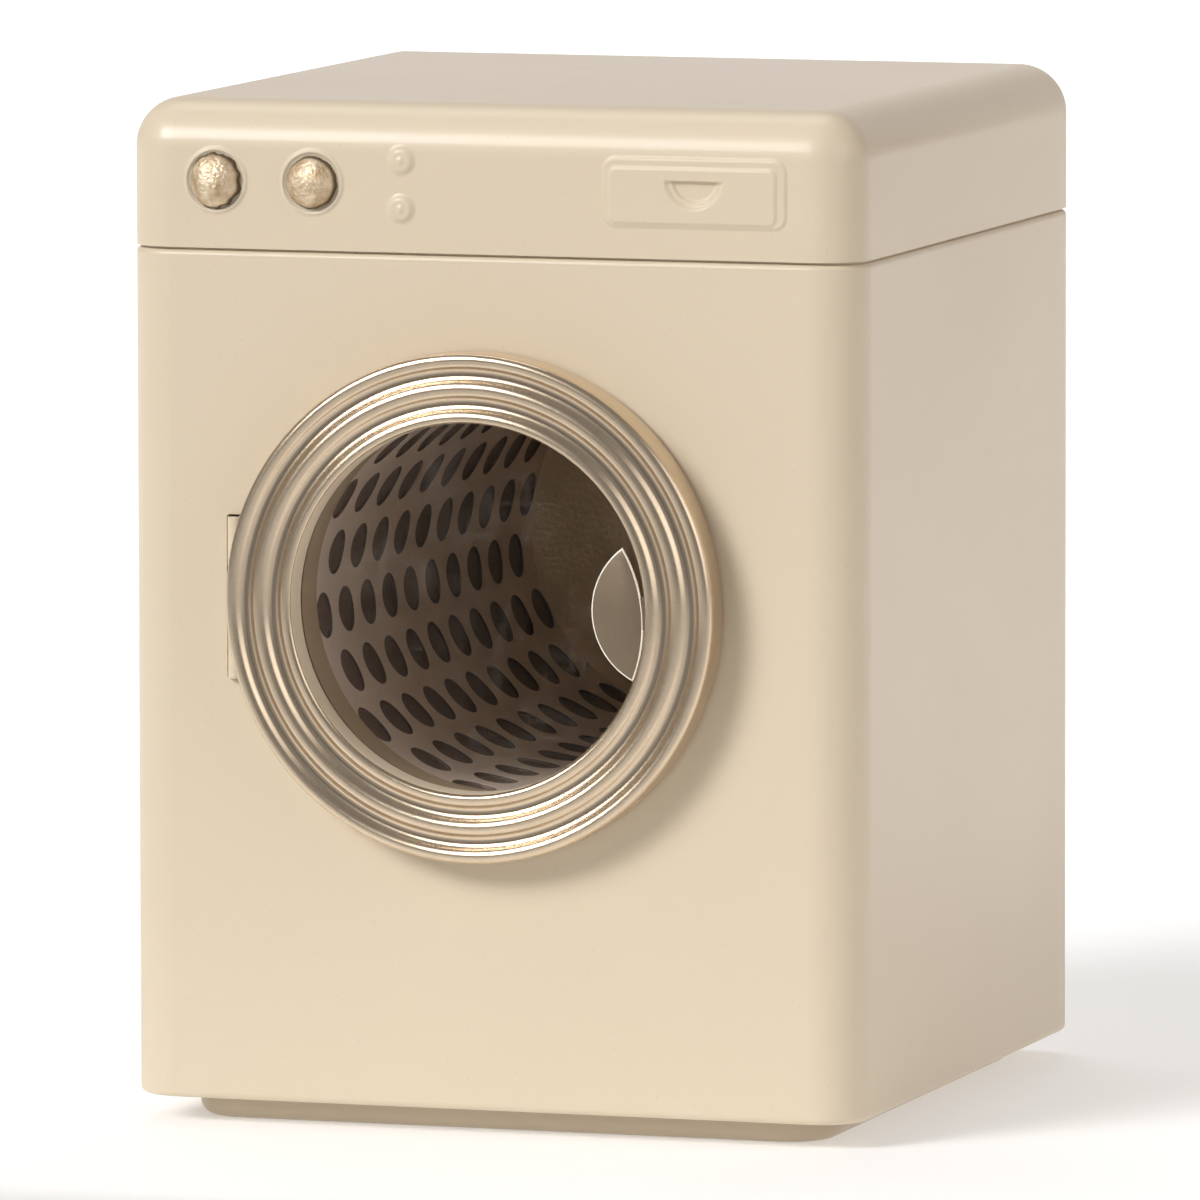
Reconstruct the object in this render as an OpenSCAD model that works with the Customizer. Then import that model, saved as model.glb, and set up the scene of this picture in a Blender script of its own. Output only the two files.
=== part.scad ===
/* [Cabinet] */
// Width across the side walls
body_w = 93; // [86:0.5:100]
// Depth from the front wall to the rear wall
body_d = 94; // [90:0.5:100]
// Overall height from the foot to the top of the lid
total_h = 125; // [120:0.5:132]
// Radius of the upright corners and of the lid's top edges
corner_r = 6; // [5:0.5:8]
// Height of the lower edge of the walls above the surface
wall_z = 3.2; // [2.5:0.1:4]
// Height of the shoulder that the lid sits on
seam_z = 106.8; // [105:0.1:108]
// Thickness of the tinplate
tin = 0.5; // [0.4:0.05:0.6]
// Height of the neck that reaches up inside the lid
neck_h = 4; // [2:0.5:4]

/* [Foot] */
// Distance of the pressed foot inside the walls
foot_inset = 5.6; // [4:0.1:8]
// Radius of the foot's corners, seen from below
foot_corner_r = 6.5; // [4:0.5:8]
// Radius of the foot's lower edge
foot_edge_r = 1.8; // [1:0.1:1.9]

/* [Door] */
// Sideways position of the porthole's centre
door_x = -0.8; // [-2:0.1:2]
// Height of the porthole's centre
door_z = 64.8; // [62:0.1:68]
// Outer radius of the ribbed ring
ring_r = 30.85; // [30:0.05:31.5]
// Radius of the ring's inner lip
lip_r = 22.4; // [22:0.05:22.8]
// How far the ring's ridges stand in front of the wall
ring_proud = 5.75; // [5:0.05:6.5]
// Distance from each ridge of the ring to the next groove
rib_step = 1.745; // [1.6:0.005:1.8]
// Steepest slope of the ribs in degrees
rib_slope = 50; // [35:1:55]
// Thickness of the clear window
window_t = 0.5; // [0.4:0.1:0.6]

/* [Handle] */
// Distance between the tips of the almond shaped finger plate
handle_h = 16.2; // [12:0.1:18]
// Radius of the finger plate's edge nearest the ring
handle_outer_r = 18.1; // [16:0.1:22]
// Radius of the finger plate's free edge
handle_inner_r = 9.45; // [9:0.05:14]
// Distance of the plate's tips from the porthole's centre
handle_x = 19.8; // [19:0.1:20]
// Angle in degrees that the plate's upper tip leans inwards
handle_tilt = 4.6; // [0:0.1:6]

/* [Hinge] */
// Sideways position of the hinge pin
hinge_x = -32.1; // [-32.3:0.1:-31.9]
// Radius of the hinge barrel
barrel_r = 0.9; // [0.8:0.05:0.95]
// Radius of the hinge pin
pin_r = 0.4; // [0.35:0.05:0.5]
// Height of the slot in the front wall that the barrel stands in
slot_h = 20; // [18:0.5:22]

/* [Drum] */
// Inner radius of the drum
drum_r = 23.75; // [23.6:0.05:24]
// Thickness of the drum's perforated liner
drum_t = 0.4; // [0.3:0.05:0.5]
// Thickness of the plain drum wall that the liner lies against
sleeve_t = 0.35; // [0.3:0.05:0.4]
// Number of rows of holes round the drum
row_count = 20; // [18:2:22]
// Number of holes in each row
holes_per_row = 10; // [8:1:10]
// Diameter of the holes
hole_d = 5.6; // [4:0.1:5.8]
// Distance between holes along a row
hole_pitch = 8.15; // [8:0.05:8.2]
// Distance from the front wall to the first hole of an odd row
first_hole = 10.1; // [10:0.1:10.4]
// Angle of the first row of holes about the drum's axis
first_row = 28.5; // [0:0.5:36]
// Radius of the axle
axle_r = 1.5; // [1.2:0.1:2]

/* [Lid front] */
// Radius of the domed knobs
knob_r = 3.15; // [2.8:0.05:3.5]
// Height of the knobs' centres
knob_z = 115.3; // [114:0.1:116]
// Sideways positions of the two knobs
knob_xs = [-34.5, -22.2];
// Radius of the raised bead round each knob
bead_r = 3.75; // [3.6:0.05:3.9]
// Heights of the two raised buttons
button_zs = [118.4, 112.7];
// Sideways position of the raised buttons
button_x = -10.85; // [-12:0.05:-10]
// Radius of the raised buttons
button_r = 1.45; // [1:0.05:1.6]
// Width of the drawer front that is pressed into the lid
drawer_w = 22.9; // [20:0.1:24]
// Height of the pressed drawer front
drawer_h = 8.3; // [7.5:0.1:8.6]
// Sideways position of the drawer front's centre
drawer_x = 26.25; // [25:0.05:28]
// Height of the drawer front's centre
drawer_z = 115.05; // [114.5:0.05:115.5]

/* [Hidden] */

cream = [0.87, 0.81, 0.70];
gold = [0.78, 0.66, 0.48];
steel = [0.62, 0.61, 0.60];
drum_tin = [0.38, 0.33, 0.29];
drum_dark = [0.20, 0.17, 0.15];
clear = [0.9, 0.93, 0.95, 0.35];

front_y = -body_d / 2;
rear_y = body_d / 2;
touch = 0.02;
cut = 1;

// Wall section
hem_r = 0.9;
hem_w = 2.6;
shoulder_r = 0.65;
lid_gap = 0.02;
neck_x = -shoulder_r;
foot_step_r = 1.3;

// Collar and drum, as distances behind the front wall
collar_r = 23.3;
collar_t = 0.4;
collar_end = 6.5;
collar_flange_r = 24.6;
drum_front = 6.8;
drum_out_r = drum_r + drum_t + sleeve_t;
drum_rim_r = drum_out_r + 0.6;
drum_rim_t = 0.5;
back_front = 90.5;
back_t = 0.4;
back_skirt = 1.5;
shell_end = back_front + back_t + back_skirt;
hub_t = 0.8;
hub_r = 7;
plate_t = 0.5;
plate_r = 9;
inner_rear = body_d - tin;
run_gap = 0.05;
washer_r = 4;
washer_t = 0.5;
washer_front = back_front - run_gap - washer_t;
nut_r = 3.4;
nut_neck_r = 2.3;
nut_t = 0.4;
nut_neck_h = 0.5;
nut_front = washer_front - nut_t - nut_neck_h;
axle_tip = nut_front - 0.3;

// Door section, as distances in front of the front wall
door_gap = 0.35;
ring_hem_w = 1.4;
ring_corner_r = 0.6;
shoulder_out_r = 0.85;
lip_edge_r = rib_start() - lip_r;
back_plate_z = door_gap + tin;
window_z = back_plate_z + tin;
door_back_inset = 0.2;
window_lap = 1.6;
rib_r = rib_step / (2 * sin(rib_slope));
rib_depth = 2 * rib_r * (1 - cos(rib_slope));
wall_in_r = ring_r - tin;

// Hinge
notch_inner_r = 28.2;
hinge_y = front_y - door_gap;
slot_left = 33.3;
slot_right = 30.9;
slot_corner_r = 0.4;
knuckle_gap = 0.3;
bracket_t = 0.45;
pin_end = 0.05;
web_l = 2.4;
mid_knuckle_h = 6.4;
bracket_top_gap = 0.25;
bracket_low_gap = 0.12;
bracket_h = slot_h - bracket_top_gap - bracket_low_gap;
bracket_z = door_z - slot_h / 2 + bracket_low_gap;
notch_h = slot_h + 0.8;
notch_depth = 1.6;

// Pressings of the lid's front, as heights in front of it
bead_proud = 0.23;
button_proud = 0.3;
step_proud = 0.22;
pull_top = 1.35;
pull_w = 5.5;
pull_h = 2.4;
pull_depth = 0.75;
shank_r = 0.9;

// Catch
magnet_ring_r = 28.6;
magnet_r = 2.4;
magnet_t = 1.5;

// Points of an arc, from one angle to another
function arc_points(cx, cy, r, from, to, n = 6) =
    [for (i = [0:n]) let (a = from + (to - from) * i / n) [cx + r * cos(a), cy + r * sin(a)]];

// Radius of the innermost ridge of the door ring
function rib_start() = ring_r - 0.85 - 4 * rib_step;

// Radius of ridge or groove number k, counted outwards from the innermost ridge
function rib_at(k) = rib_start() + k * rib_step;

// The ribbed front of the door ring, walked inwards from the outer ridge, offset by depth behind it
function rib_points(depth) = [
    for (k = [4:-1:0])
        let (ridge = k % 2 == 0)
        each ridge
            ? arc_points(rib_at(k), ring_proud - rib_r, rib_r - depth,
                         k == 4 ? 90 : 90 - rib_slope, k == 0 ? 90 : 90 + rib_slope)
            : arc_points(rib_at(k), ring_proud - rib_depth + rib_r, rib_r + depth,
                         -90 + rib_slope, -90 - rib_slope)
];

function reversed(list) = [for (i = [len(list) - 1:-1:0]) list[i]];

// Sweeps a wall section round the plan of the cabinet; x is measured outwards from the outer face
module swept_wall(w = body_w, d = body_d, r = corner_r) {
    for (sx = [0, 1], sy = [0, 1])
        mirror([sx, 0, 0]) mirror([0, sy, 0])
            translate([w / 2 - r, d / 2 - r, 0])
                rotate_extrude(angle = 90, $fn = 96) translate([r, 0]) children();
    for (s = [0, 1])
        mirror([s, 0, 0]) translate([w / 2, d / 2 - r, 0])
            rotate([90, 0, 0]) linear_extrude(d - 2 * r) children();
    for (s = [0, 1])
        mirror([0, s, 0]) translate([-(w / 2 - r), d / 2, 0])
            rotate([90, 0, 90]) linear_extrude(w - 2 * r) children();
}

// Quarter of a round band, in the quadrant that starts at the given angle
module quarter_band(cx, cy, r_out, r_in, angle) {
    translate([cx, cy]) rotate(angle)
        intersection() {
            difference() {
                circle(r_out, $fn = 64);
                if (r_in > 0) circle(r_in, $fn = 64);
            }
            square(r_out + cut);
        }
}

// Rounded rectangle, centred, made of squares and circles
module rounded_plan(w, h, r) {
    square([w - 2 * r, h], center = true);
    square([w, h - 2 * r], center = true);
    for (x = [-1, 1], y = [-1, 1])
        translate([x * (w / 2 - r), y * (h / 2 - r)]) circle(r, $fn = 48);
}

// Places children so that their z axis runs forward out of the porthole, from the front wall
module at_door() {
    translate([door_x, front_y, door_z]) rotate([90, 0, 0]) children();
}

// Places children so that their z axis runs backward into the cabinet, from the front wall
module at_drum() {
    translate([door_x, front_y, door_z]) rotate([-90, 0, 0]) children();
}

// Places children so that their z axis runs forward out of the lid's front
module at_lid_front(x, z) {
    translate([x, front_y, z]) rotate([90, 0, 0]) children();
}

// Tube along z with its lower end at z0
module tube(r_out, r_in, z0, h) {
    translate([0, 0, z0]) difference() {
        cylinder(r = r_out, h = h, $fn = 128);
        translate([0, 0, -cut]) cylinder(r = r_in, h = h + 2 * cut, $fn = 128);
    }
}

// Section of the cabinet wall: hem, wall, shoulder and neck
module wall_section() {
    translate([-hem_w, wall_z]) square([hem_w - hem_r, tin]);
    quarter_band(-hem_r, wall_z + hem_r, hem_r, hem_r - tin, -90);
    translate([-tin, wall_z + hem_r]) square([tin, seam_z - shoulder_r - wall_z - hem_r]);
    quarter_band(-shoulder_r, seam_z - shoulder_r, shoulder_r, shoulder_r - tin, 0);
    translate([neck_x - tin, seam_z - tin]) square([tin, neck_h + tin]);
}

// Wrap of the cabinet with its front opening, hinge slot, axle hole and rear seam
module cabinet_shell() {
    strip_w = 4;
    strip_x = 30;
    strip_t = 0.4;
    strip_end = 2;
    strip_h = seam_z - wall_z - 2 * strip_end;
    color(cream) difference() {
        union() {
            swept_wall() wall_section();
            translate([strip_x, rear_y - touch, wall_z + strip_end])
                cube([strip_w, strip_t + touch, strip_h]);
        }
        at_drum() translate([0, 0, -cut])
            cylinder(r = collar_r + collar_t, h = 2 * cut + tin, $fn = 128);
        translate([-(slot_left + slot_right) / 2, front_y - cut, door_z])
            rotate([-90, 0, 0]) linear_extrude(tin + 2 * cut)
                rounded_plan(slot_left - slot_right, slot_h, slot_corner_r);
        at_drum() translate([0, 0, inner_rear - cut]) cylinder(r = axle_r, h = 3 * cut, $fn = 48);
    }
}

// Section of the base's rolled step, upright side and lower edge
module pan_section() {
    step_z = wall_z + tin - foot_step_r;
    quarter_band(foot_step_r - foot_inset, step_z, foot_step_r + tin, foot_step_r, 90);
    translate([-foot_inset - tin, foot_edge_r]) square([tin, step_z - foot_edge_r]);
    quarter_band(-foot_inset - foot_edge_r, foot_edge_r, foot_edge_r, foot_edge_r - tin, -90);
}

// Rounded plan of the foot, drawn in from its upright side by the given distance
module foot_plan(inward) {
    side = 2 * (foot_inset + inward);
    rounded_plan(body_w - side, body_d - side, foot_corner_r - inward);
}

// Pressed base plate whose raised foot the toy stands on; its flange lies on the cabinet's hem
module base_pan() {
    color(cream) {
        swept_wall(r = foot_inset + foot_corner_r) pan_section();
        linear_extrude(tin) foot_plan(foot_edge_r);
        translate([0, 0, wall_z + tin]) linear_extrude(tin) difference() {
            rounded_plan(body_w - 2 * hem_r, body_d - 2 * hem_r, corner_r - hem_r);
            foot_plan(-foot_step_r);
        }
    }
}

// Flanged collar that lines the front opening and reaches back to the drum's mouth
module porthole_collar() {
    color(cream) at_drum() {
        tube(collar_r + collar_t, collar_r, 0, collar_end);
        tube(collar_flange_r, collar_r + collar_t - touch, tin, tin);
    }
}

// Disc that stiffens the rear wall round the axle
module rear_bearing_plate() {
    color(steel) at_drum() tube(plate_r, axle_r, inner_rear - plate_t, plate_t);
}

// Rivet that carries the drum: domed head outside the rear wall, shank into the drum
module drum_axle() {
    head_r = 4;
    head_h = 1.2;
    dome_r = (head_r * head_r + head_h * head_h) / (2 * head_h);
    color(steel) at_drum() {
        translate([0, 0, axle_tip]) cylinder(r = axle_r, h = body_d - axle_tip, $fn = 48);
        intersection() {
            translate([0, 0, body_d]) cylinder(r = head_r, h = head_h + cut, $fn = 64);
            translate([0, 0, body_d + head_h - dome_r]) sphere(r = dome_r, $fn = 96);
        }
    }
}

// Spacer between the bearing plate and the drum's hub
module axle_spacer() {
    spacer_r = 3.2;
    front = back_front + back_t + hub_t + run_gap;
    color(steel) at_drum() tube(spacer_r, axle_r, front, inner_rear - plate_t - front);
}

// Washer on the axle inside the drum
module axle_washer() {
    color(steel) at_drum() tube(washer_r, axle_r, washer_front, washer_t);
}

// Push-on nut that closes the axle inside the drum, with six gripping slits
module axle_push_nut() {
    slit_w = 0.7;
    color(steel) at_drum() difference() {
        union() {
            tube(nut_r, axle_r, washer_front - nut_t, nut_t);
            tube(nut_neck_r, axle_r, nut_front, nut_neck_h + touch);
        }
        for (a = [0:60:300])
            rotate(a) translate([nut_neck_r + 0.3, -slit_w / 2, nut_front])
                cube([nut_r, slit_w, 2 * cut]);
    }
}

// Fixed half of the hinge, behind the front wall, with its upper and lower knuckles
module hinge_bracket() {
    plate_left = 41;
    plate_back = front_y + tin + bracket_t;
    block_right = hinge_x + 0.7;
    gap_h = mid_knuckle_h + 2 * knuckle_gap;
    color(cream) difference() {
        union() {
            translate([-plate_left, front_y + tin, bracket_z])
                cube([plate_left + block_right, bracket_t, bracket_h]);
            translate([hinge_x - barrel_r, hinge_y, bracket_z])
                cube([block_right - hinge_x + barrel_r, plate_back - hinge_y, bracket_h]);
            translate([hinge_x, hinge_y, bracket_z]) cylinder(r = barrel_r, h = bracket_h, $fn = 48);
        }
        translate([-slot_left, hinge_y - 2 * cut, door_z - gap_h / 2]) cube([4 * cut, 4 * cut, gap_h]);
        translate([hinge_x, hinge_y, 0]) cylinder(r = pin_r, h = total_h, $fn = 32);
    }
}

// Pin of the hinge
module hinge_pin() {
    color(steel) translate([hinge_x, hinge_y, bracket_z - pin_end])
        cylinder(r = pin_r, h = bracket_h + 2 * pin_end, $fn = 32);
}

// Magnet that holds the closed door, behind the front wall
module catch_magnet() {
    color(steel) at_drum() translate([magnet_ring_r, 0, tin])
        cylinder(r = magnet_r, h = magnet_t, $fn = 64);
}

// Pressed cup that holds the magnet against the front wall
module magnet_cup() {
    cup_t = 0.4;
    flange_r = 3.9;
    color(steel) at_drum() translate([magnet_ring_r, 0, 0]) {
        tube(magnet_r + cup_t, magnet_r, tin, magnet_t);
        tube(flange_r, magnet_r + cup_t - touch, tin, cup_t);
        translate([0, 0, tin + magnet_t]) cylinder(r = magnet_r + cup_t, h = cup_t, $fn = 64);
    }
}

// Section of the lid: skirt and rounded top edge
module lid_section() {
    bottom = seam_z + lid_gap;
    translate([-tin, bottom]) square([tin, total_h - corner_r - bottom]);
    quarter_band(-corner_r, total_h - corner_r, corner_r, corner_r - tin, 0);
}

// Raised bead round a knob
module knob_bead() {
    wire_r = 0.35;
    rotate_extrude($fn = 96) translate([bead_r, bead_proud - wire_r]) circle(wire_r, $fn = 32);
}

// Raised button: a shallow dome with a nib in its middle
module raised_button() {
    nib_r = 0.35;
    dome_r = (button_r * button_r + button_proud * button_proud) / (2 * button_proud);
    intersection() {
        translate([0, 0, -touch]) cylinder(r = button_r, h = cut, $fn = 48);
        translate([0, 0, button_proud - dome_r]) sphere(r = dome_r, $fn = 96);
    }
    translate([0, 0, button_proud - nib_r / 2]) sphere(r = nib_r, $fn = 32);
}

// Drawer front raised in two steps, with a pad behind the pull
module drawer_front() {
    translate([0, 0, -touch]) linear_extrude(step_proud + touch) rounded_plan(drawer_w, drawer_h, 1.5);
    translate([-0.2, -0.375, 0]) linear_extrude(2 * step_proud)
        rounded_plan(drawer_w - 2, drawer_h - 1.65, 0.9);
    translate([0, pull_top, -tin - pull_depth]) linear_extrude(pull_depth + touch)
        half_moon(pull_w + 2 * tin, pull_h + tin);
}

// Finger pull sunk in two steps into the drawer front
module pull_recess() {
    translate([0, pull_top, 2 * step_proud - pull_depth]) linear_extrude(cut) half_moon(pull_w, pull_h);
    translate([0, pull_top, 2 * step_proud - pull_depth / 2]) linear_extrude(cut)
        half_moon(pull_w + 0.9, pull_h + 1);
}

// Half-moon outline with its flat side up, at y = 0
module half_moon(w, h) {
    r = (h * h + w * w / 4) / (2 * h);
    intersection() {
        translate([0, r - h]) circle(r, $fn = 64);
        translate([-w, -h - cut]) square([2 * w, h + cut]);
    }
}

// Slip lid with the pressed beads, buttons and drawer front
module top_lid() {
    color(cream) difference() {
        union() {
            swept_wall() lid_section();
            translate([corner_r - body_w / 2, corner_r - body_d / 2, total_h - tin])
                cube([body_w - 2 * corner_r, body_d - 2 * corner_r, tin]);
            for (x = knob_xs)
                at_lid_front(x, knob_z) knob_bead();
            for (z = button_zs)
                at_lid_front(button_x, z) raised_button();
            at_lid_front(drawer_x, drawer_z) drawer_front();
        }
        for (x = knob_xs)
            at_lid_front(x, knob_z) translate([0, 0, -tin - cut])
                cylinder(r = shank_r + run_gap, h = tin + 2 * cut, $fn = 48);
        at_lid_front(drawer_x, drawer_z) pull_recess();
    }
}

// Domed knob with its shank through the lid's front
module knob(x) {
    dome_h = 1.9;
    rim_h = 0.35;
    shank_l = 2.4;
    dome_r = (knob_r * knob_r + dome_h * dome_h) / (2 * dome_h);
    at_lid_front(x, knob_z) translate([0, 0, run_gap]) {
        cylinder(r = knob_r, h = rim_h, $fn = 96);
        intersection() {
            cylinder(r = knob_r, h = rim_h + dome_h + cut, $fn = 96);
            translate([0, 0, rim_h + dome_h - dome_r]) sphere(r = dome_r, $fn = 96);
        }
        translate([0, 0, -shank_l]) cylinder(r = shank_r, h = shank_l + touch, $fn = 48);
    }
}

// Push-on clip on a knob's shank, inside the lid
module knob_clip(x) {
    clip_t = 0.4;
    clip_r = 2.6;
    at_lid_front(x, knob_z) tube(clip_r, shank_r, -tin - run_gap - clip_t, clip_t);
}

module knob_left() {
    color(gold) knob(knob_xs[0]);
}

module knob_right() {
    color(gold) knob(knob_xs[1]);
}

module knob_left_clip() {
    color(steel) knob_clip(knob_xs[0]);
}

module knob_right_clip() {
    color(steel) knob_clip(knob_xs[1]);
}

// Plain wall of the drum with a rolled front rim
module drum_shell() {
    color(drum_dark) at_drum() {
        tube(drum_out_r, drum_r + drum_t, drum_front, shell_end - drum_front);
        tube(drum_rim_r, drum_out_r - touch, drum_front, drum_rim_t);
    }
}

// Perforated liner inside the drum's wall, its rows of holes staggered by half a pitch
module drum_liner() {
    color(drum_tin) at_drum() difference() {
        tube(drum_r + drum_t, drum_r, drum_front, shell_end - drum_front);
        for (row = [0:row_count - 1], k = [0:holes_per_row - 1])
            rotate(first_row + row * 360 / row_count)
                translate([drum_r - cut, 0, first_hole + (k + (row % 2) / 2) * hole_pitch])
                    rotate([0, 90, 0]) cylinder(d = hole_d, h = drum_t + 2 * cut, $fn = 32);
    }
}

// Rear wall of the drum, with a skirt pressed inside the liner
module drum_back() {
    color(drum_tin) at_drum() {
        tube(drum_r, axle_r + run_gap, back_front, back_t);
        tube(drum_r, drum_r - back_t, back_front + back_t - touch, back_skirt + touch);
    }
}

// Disc that stiffens the drum's rear wall and runs on the axle
module drum_hub() {
    color(steel) at_drum() tube(hub_r, axle_r + run_gap, back_front + back_t, hub_t);
}

// Section of the door ring: hem, side wall, ribbed front and inner wall
module ring_section() {
    lip_z = ring_proud - lip_edge_r;
    outer_z = ring_proud - shoulder_out_r;
    outside = concat(
        [[ring_r - ring_hem_w, door_gap]],
        arc_points(ring_r - ring_corner_r, door_gap + ring_corner_r, ring_corner_r, -90, 0, 4),
        arc_points(ring_r - shoulder_out_r, outer_z, shoulder_out_r, 0, 90),
        rib_points(0),
        arc_points(lip_r + lip_edge_r, lip_z, lip_edge_r, 90, 180),
        [[lip_r, window_z + window_t]]
    );
    inside = concat(
        [[ring_r - ring_hem_w, door_gap + tin], [wall_in_r, door_gap + tin]],
        arc_points(ring_r - shoulder_out_r, outer_z, shoulder_out_r - tin, 0, 90),
        rib_points(tin),
        arc_points(lip_r + lip_edge_r, lip_z, lip_edge_r - tin, 90, 180),
        [[lip_r + tin, window_z + window_t]]
    );
    polygon(concat(outside, reversed(inside)));
}

// Space in the back of the door that the hinge needs
module hinge_notch() {
    translate([-ring_r - cut, -notch_h / 2, -cut])
        cube([ring_r + cut - notch_inner_r, notch_h, notch_depth + cut]);
}

// Ribbed ring of the door
module door_ring() {
    color(gold) at_door() difference() {
        rotate_extrude($fn = 180) ring_section();
        hinge_notch();
    }
}

// Flat annular plate that closes the back of the ring and clamps the window
module door_back() {
    color(gold) at_door() difference() {
        tube(wall_in_r - run_gap, lip_r + door_back_inset, back_plate_z, tin);
        hinge_notch();
    }
}

// Clear window
module door_window() {
    color(clear) at_door() translate([0, 0, window_z])
        cylinder(r = lip_r + window_lap, h = window_t, $fn = 128);
}

// Almond shaped finger plate with the bent tab that fixes it to the ring's inner wall
module door_handle() {
    plate_t = 0.5;
    plate_z = ring_proud - 1.85 - plate_t;
    tab_t = 0.5;
    tab_h = 4;
    tab_z = window_z + window_t + 0.1;
    tab_reach = 1.2;
    outer_x = -sqrt(pow(handle_outer_r, 2) - pow(handle_h / 2, 2));
    inner_x = sqrt(pow(handle_inner_r, 2) - pow(handle_h / 2, 2));
    color(gold) at_door() {
        translate([handle_x, -0.2, plate_z]) rotate(handle_tilt)
            intersection() {
                translate([outer_x, 0, 0]) cylinder(r = handle_outer_r, h = plate_t, $fn = 128);
                translate([inner_x, 0, 0]) cylinder(r = handle_inner_r, h = plate_t, $fn = 96);
            }
        intersection() {
            union() {
                tube(lip_r, lip_r - tab_t, tab_z, plate_z + plate_t - tab_z);
                tube(lip_r, lip_r - tab_reach, plate_z, plate_t);
            }
            translate([handle_x, -tab_h / 2, 0]) cube([tab_h, tab_h, ring_proud]);
        }
    }
}

// Moving half of the hinge: middle knuckle, web and the strap inside the ring's side wall
module hinge_leaf() {
    leaf_t = 0.4;
    leaf_z = door_gap + barrel_r - leaf_t;
    strap_end = 4.6;
    pin_x = hinge_x - door_x;
    color(gold) {
        difference() {
            translate([hinge_x, hinge_y, door_z - mid_knuckle_h / 2])
                cylinder(r = barrel_r, h = mid_knuckle_h, $fn = 48);
            translate([hinge_x, hinge_y, 0]) cylinder(r = pin_r + run_gap, h = total_h, $fn = 32);
        }
        at_door() {
            translate([pin_x, -mid_knuckle_h / 2, leaf_z]) cube([web_l, mid_knuckle_h, leaf_t]);
            intersection() {
                tube(wall_in_r, wall_in_r - leaf_t, leaf_z, strap_end - leaf_z);
                translate([pin_x, -mid_knuckle_h / 2, 0]) cube([2 * web_l, mid_knuckle_h, ring_proud]);
            }
        }
    }
}

cabinet_shell();
base_pan();
porthole_collar();
rear_bearing_plate();
drum_axle();
axle_spacer();
axle_washer();
axle_push_nut();
hinge_bracket();
hinge_pin();
catch_magnet();
magnet_cup();
top_lid();
knob_left();
knob_left_clip();
knob_right();
knob_right_clip();
drum_shell();
drum_liner();
drum_back();
drum_hub();
door_ring();
door_back();
door_window();
door_handle();
hinge_leaf();
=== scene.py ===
"""Looks of a pressed-tin toy washing machine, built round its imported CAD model.

Lengths are metres, in the model's own frame: z up, the door faces -y and x runs to the right of
someone facing the door. MM turns the millimetres that the toy is drawn in into metres.
"""
import logging
import math
from dataclasses import dataclass, field
from enum import Enum
from typing import Iterable, Sequence

import bmesh
import bpy
from mathutils import Matrix, Vector, noise


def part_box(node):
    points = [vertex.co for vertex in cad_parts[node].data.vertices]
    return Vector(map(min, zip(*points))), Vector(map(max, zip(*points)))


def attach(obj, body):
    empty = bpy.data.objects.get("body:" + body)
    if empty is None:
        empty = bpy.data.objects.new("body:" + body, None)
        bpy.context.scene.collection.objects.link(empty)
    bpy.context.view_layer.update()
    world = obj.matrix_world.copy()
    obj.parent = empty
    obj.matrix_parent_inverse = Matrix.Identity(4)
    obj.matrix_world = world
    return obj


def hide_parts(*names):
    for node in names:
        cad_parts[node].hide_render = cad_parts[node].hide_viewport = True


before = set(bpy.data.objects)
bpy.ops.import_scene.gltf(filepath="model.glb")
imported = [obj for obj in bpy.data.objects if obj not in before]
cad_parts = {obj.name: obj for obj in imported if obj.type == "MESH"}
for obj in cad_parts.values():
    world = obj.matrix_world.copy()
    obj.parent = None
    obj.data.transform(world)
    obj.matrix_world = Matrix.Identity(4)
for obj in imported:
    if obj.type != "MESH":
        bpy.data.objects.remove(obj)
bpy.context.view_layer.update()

MM = 0.001
# Gaps below these count as none: TOUCH on the lid's sheet, MERGE on the small spun solids.
TOUCH = 0.01 * MM
MERGE = 0.001 * MM
log = logging.getLogger("toy")

Profile = list[tuple[float, float]]
Colour = tuple[float, float, float]


class Slot(Enum):
    """The record's material slots."""

    PAINT = "cream_paint"
    BASE = "base_paint"
    GOLD = "gold_lacquer"
    FOIL = "knob_foil"
    STEEL = "plain_steel"
    FERRITE = "ferrite"
    DRUM = "drum_tin"
    SLEEVE = "drum_dark"
    WINDOW = "window_clear"


class Body(Enum):
    """The bodies that the pieces made here ride on."""

    LID = "lid"
    LEFT_KNOB = "left_knob"
    RIGHT_KNOB = "right_knob"
    DOOR = "door"


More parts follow.
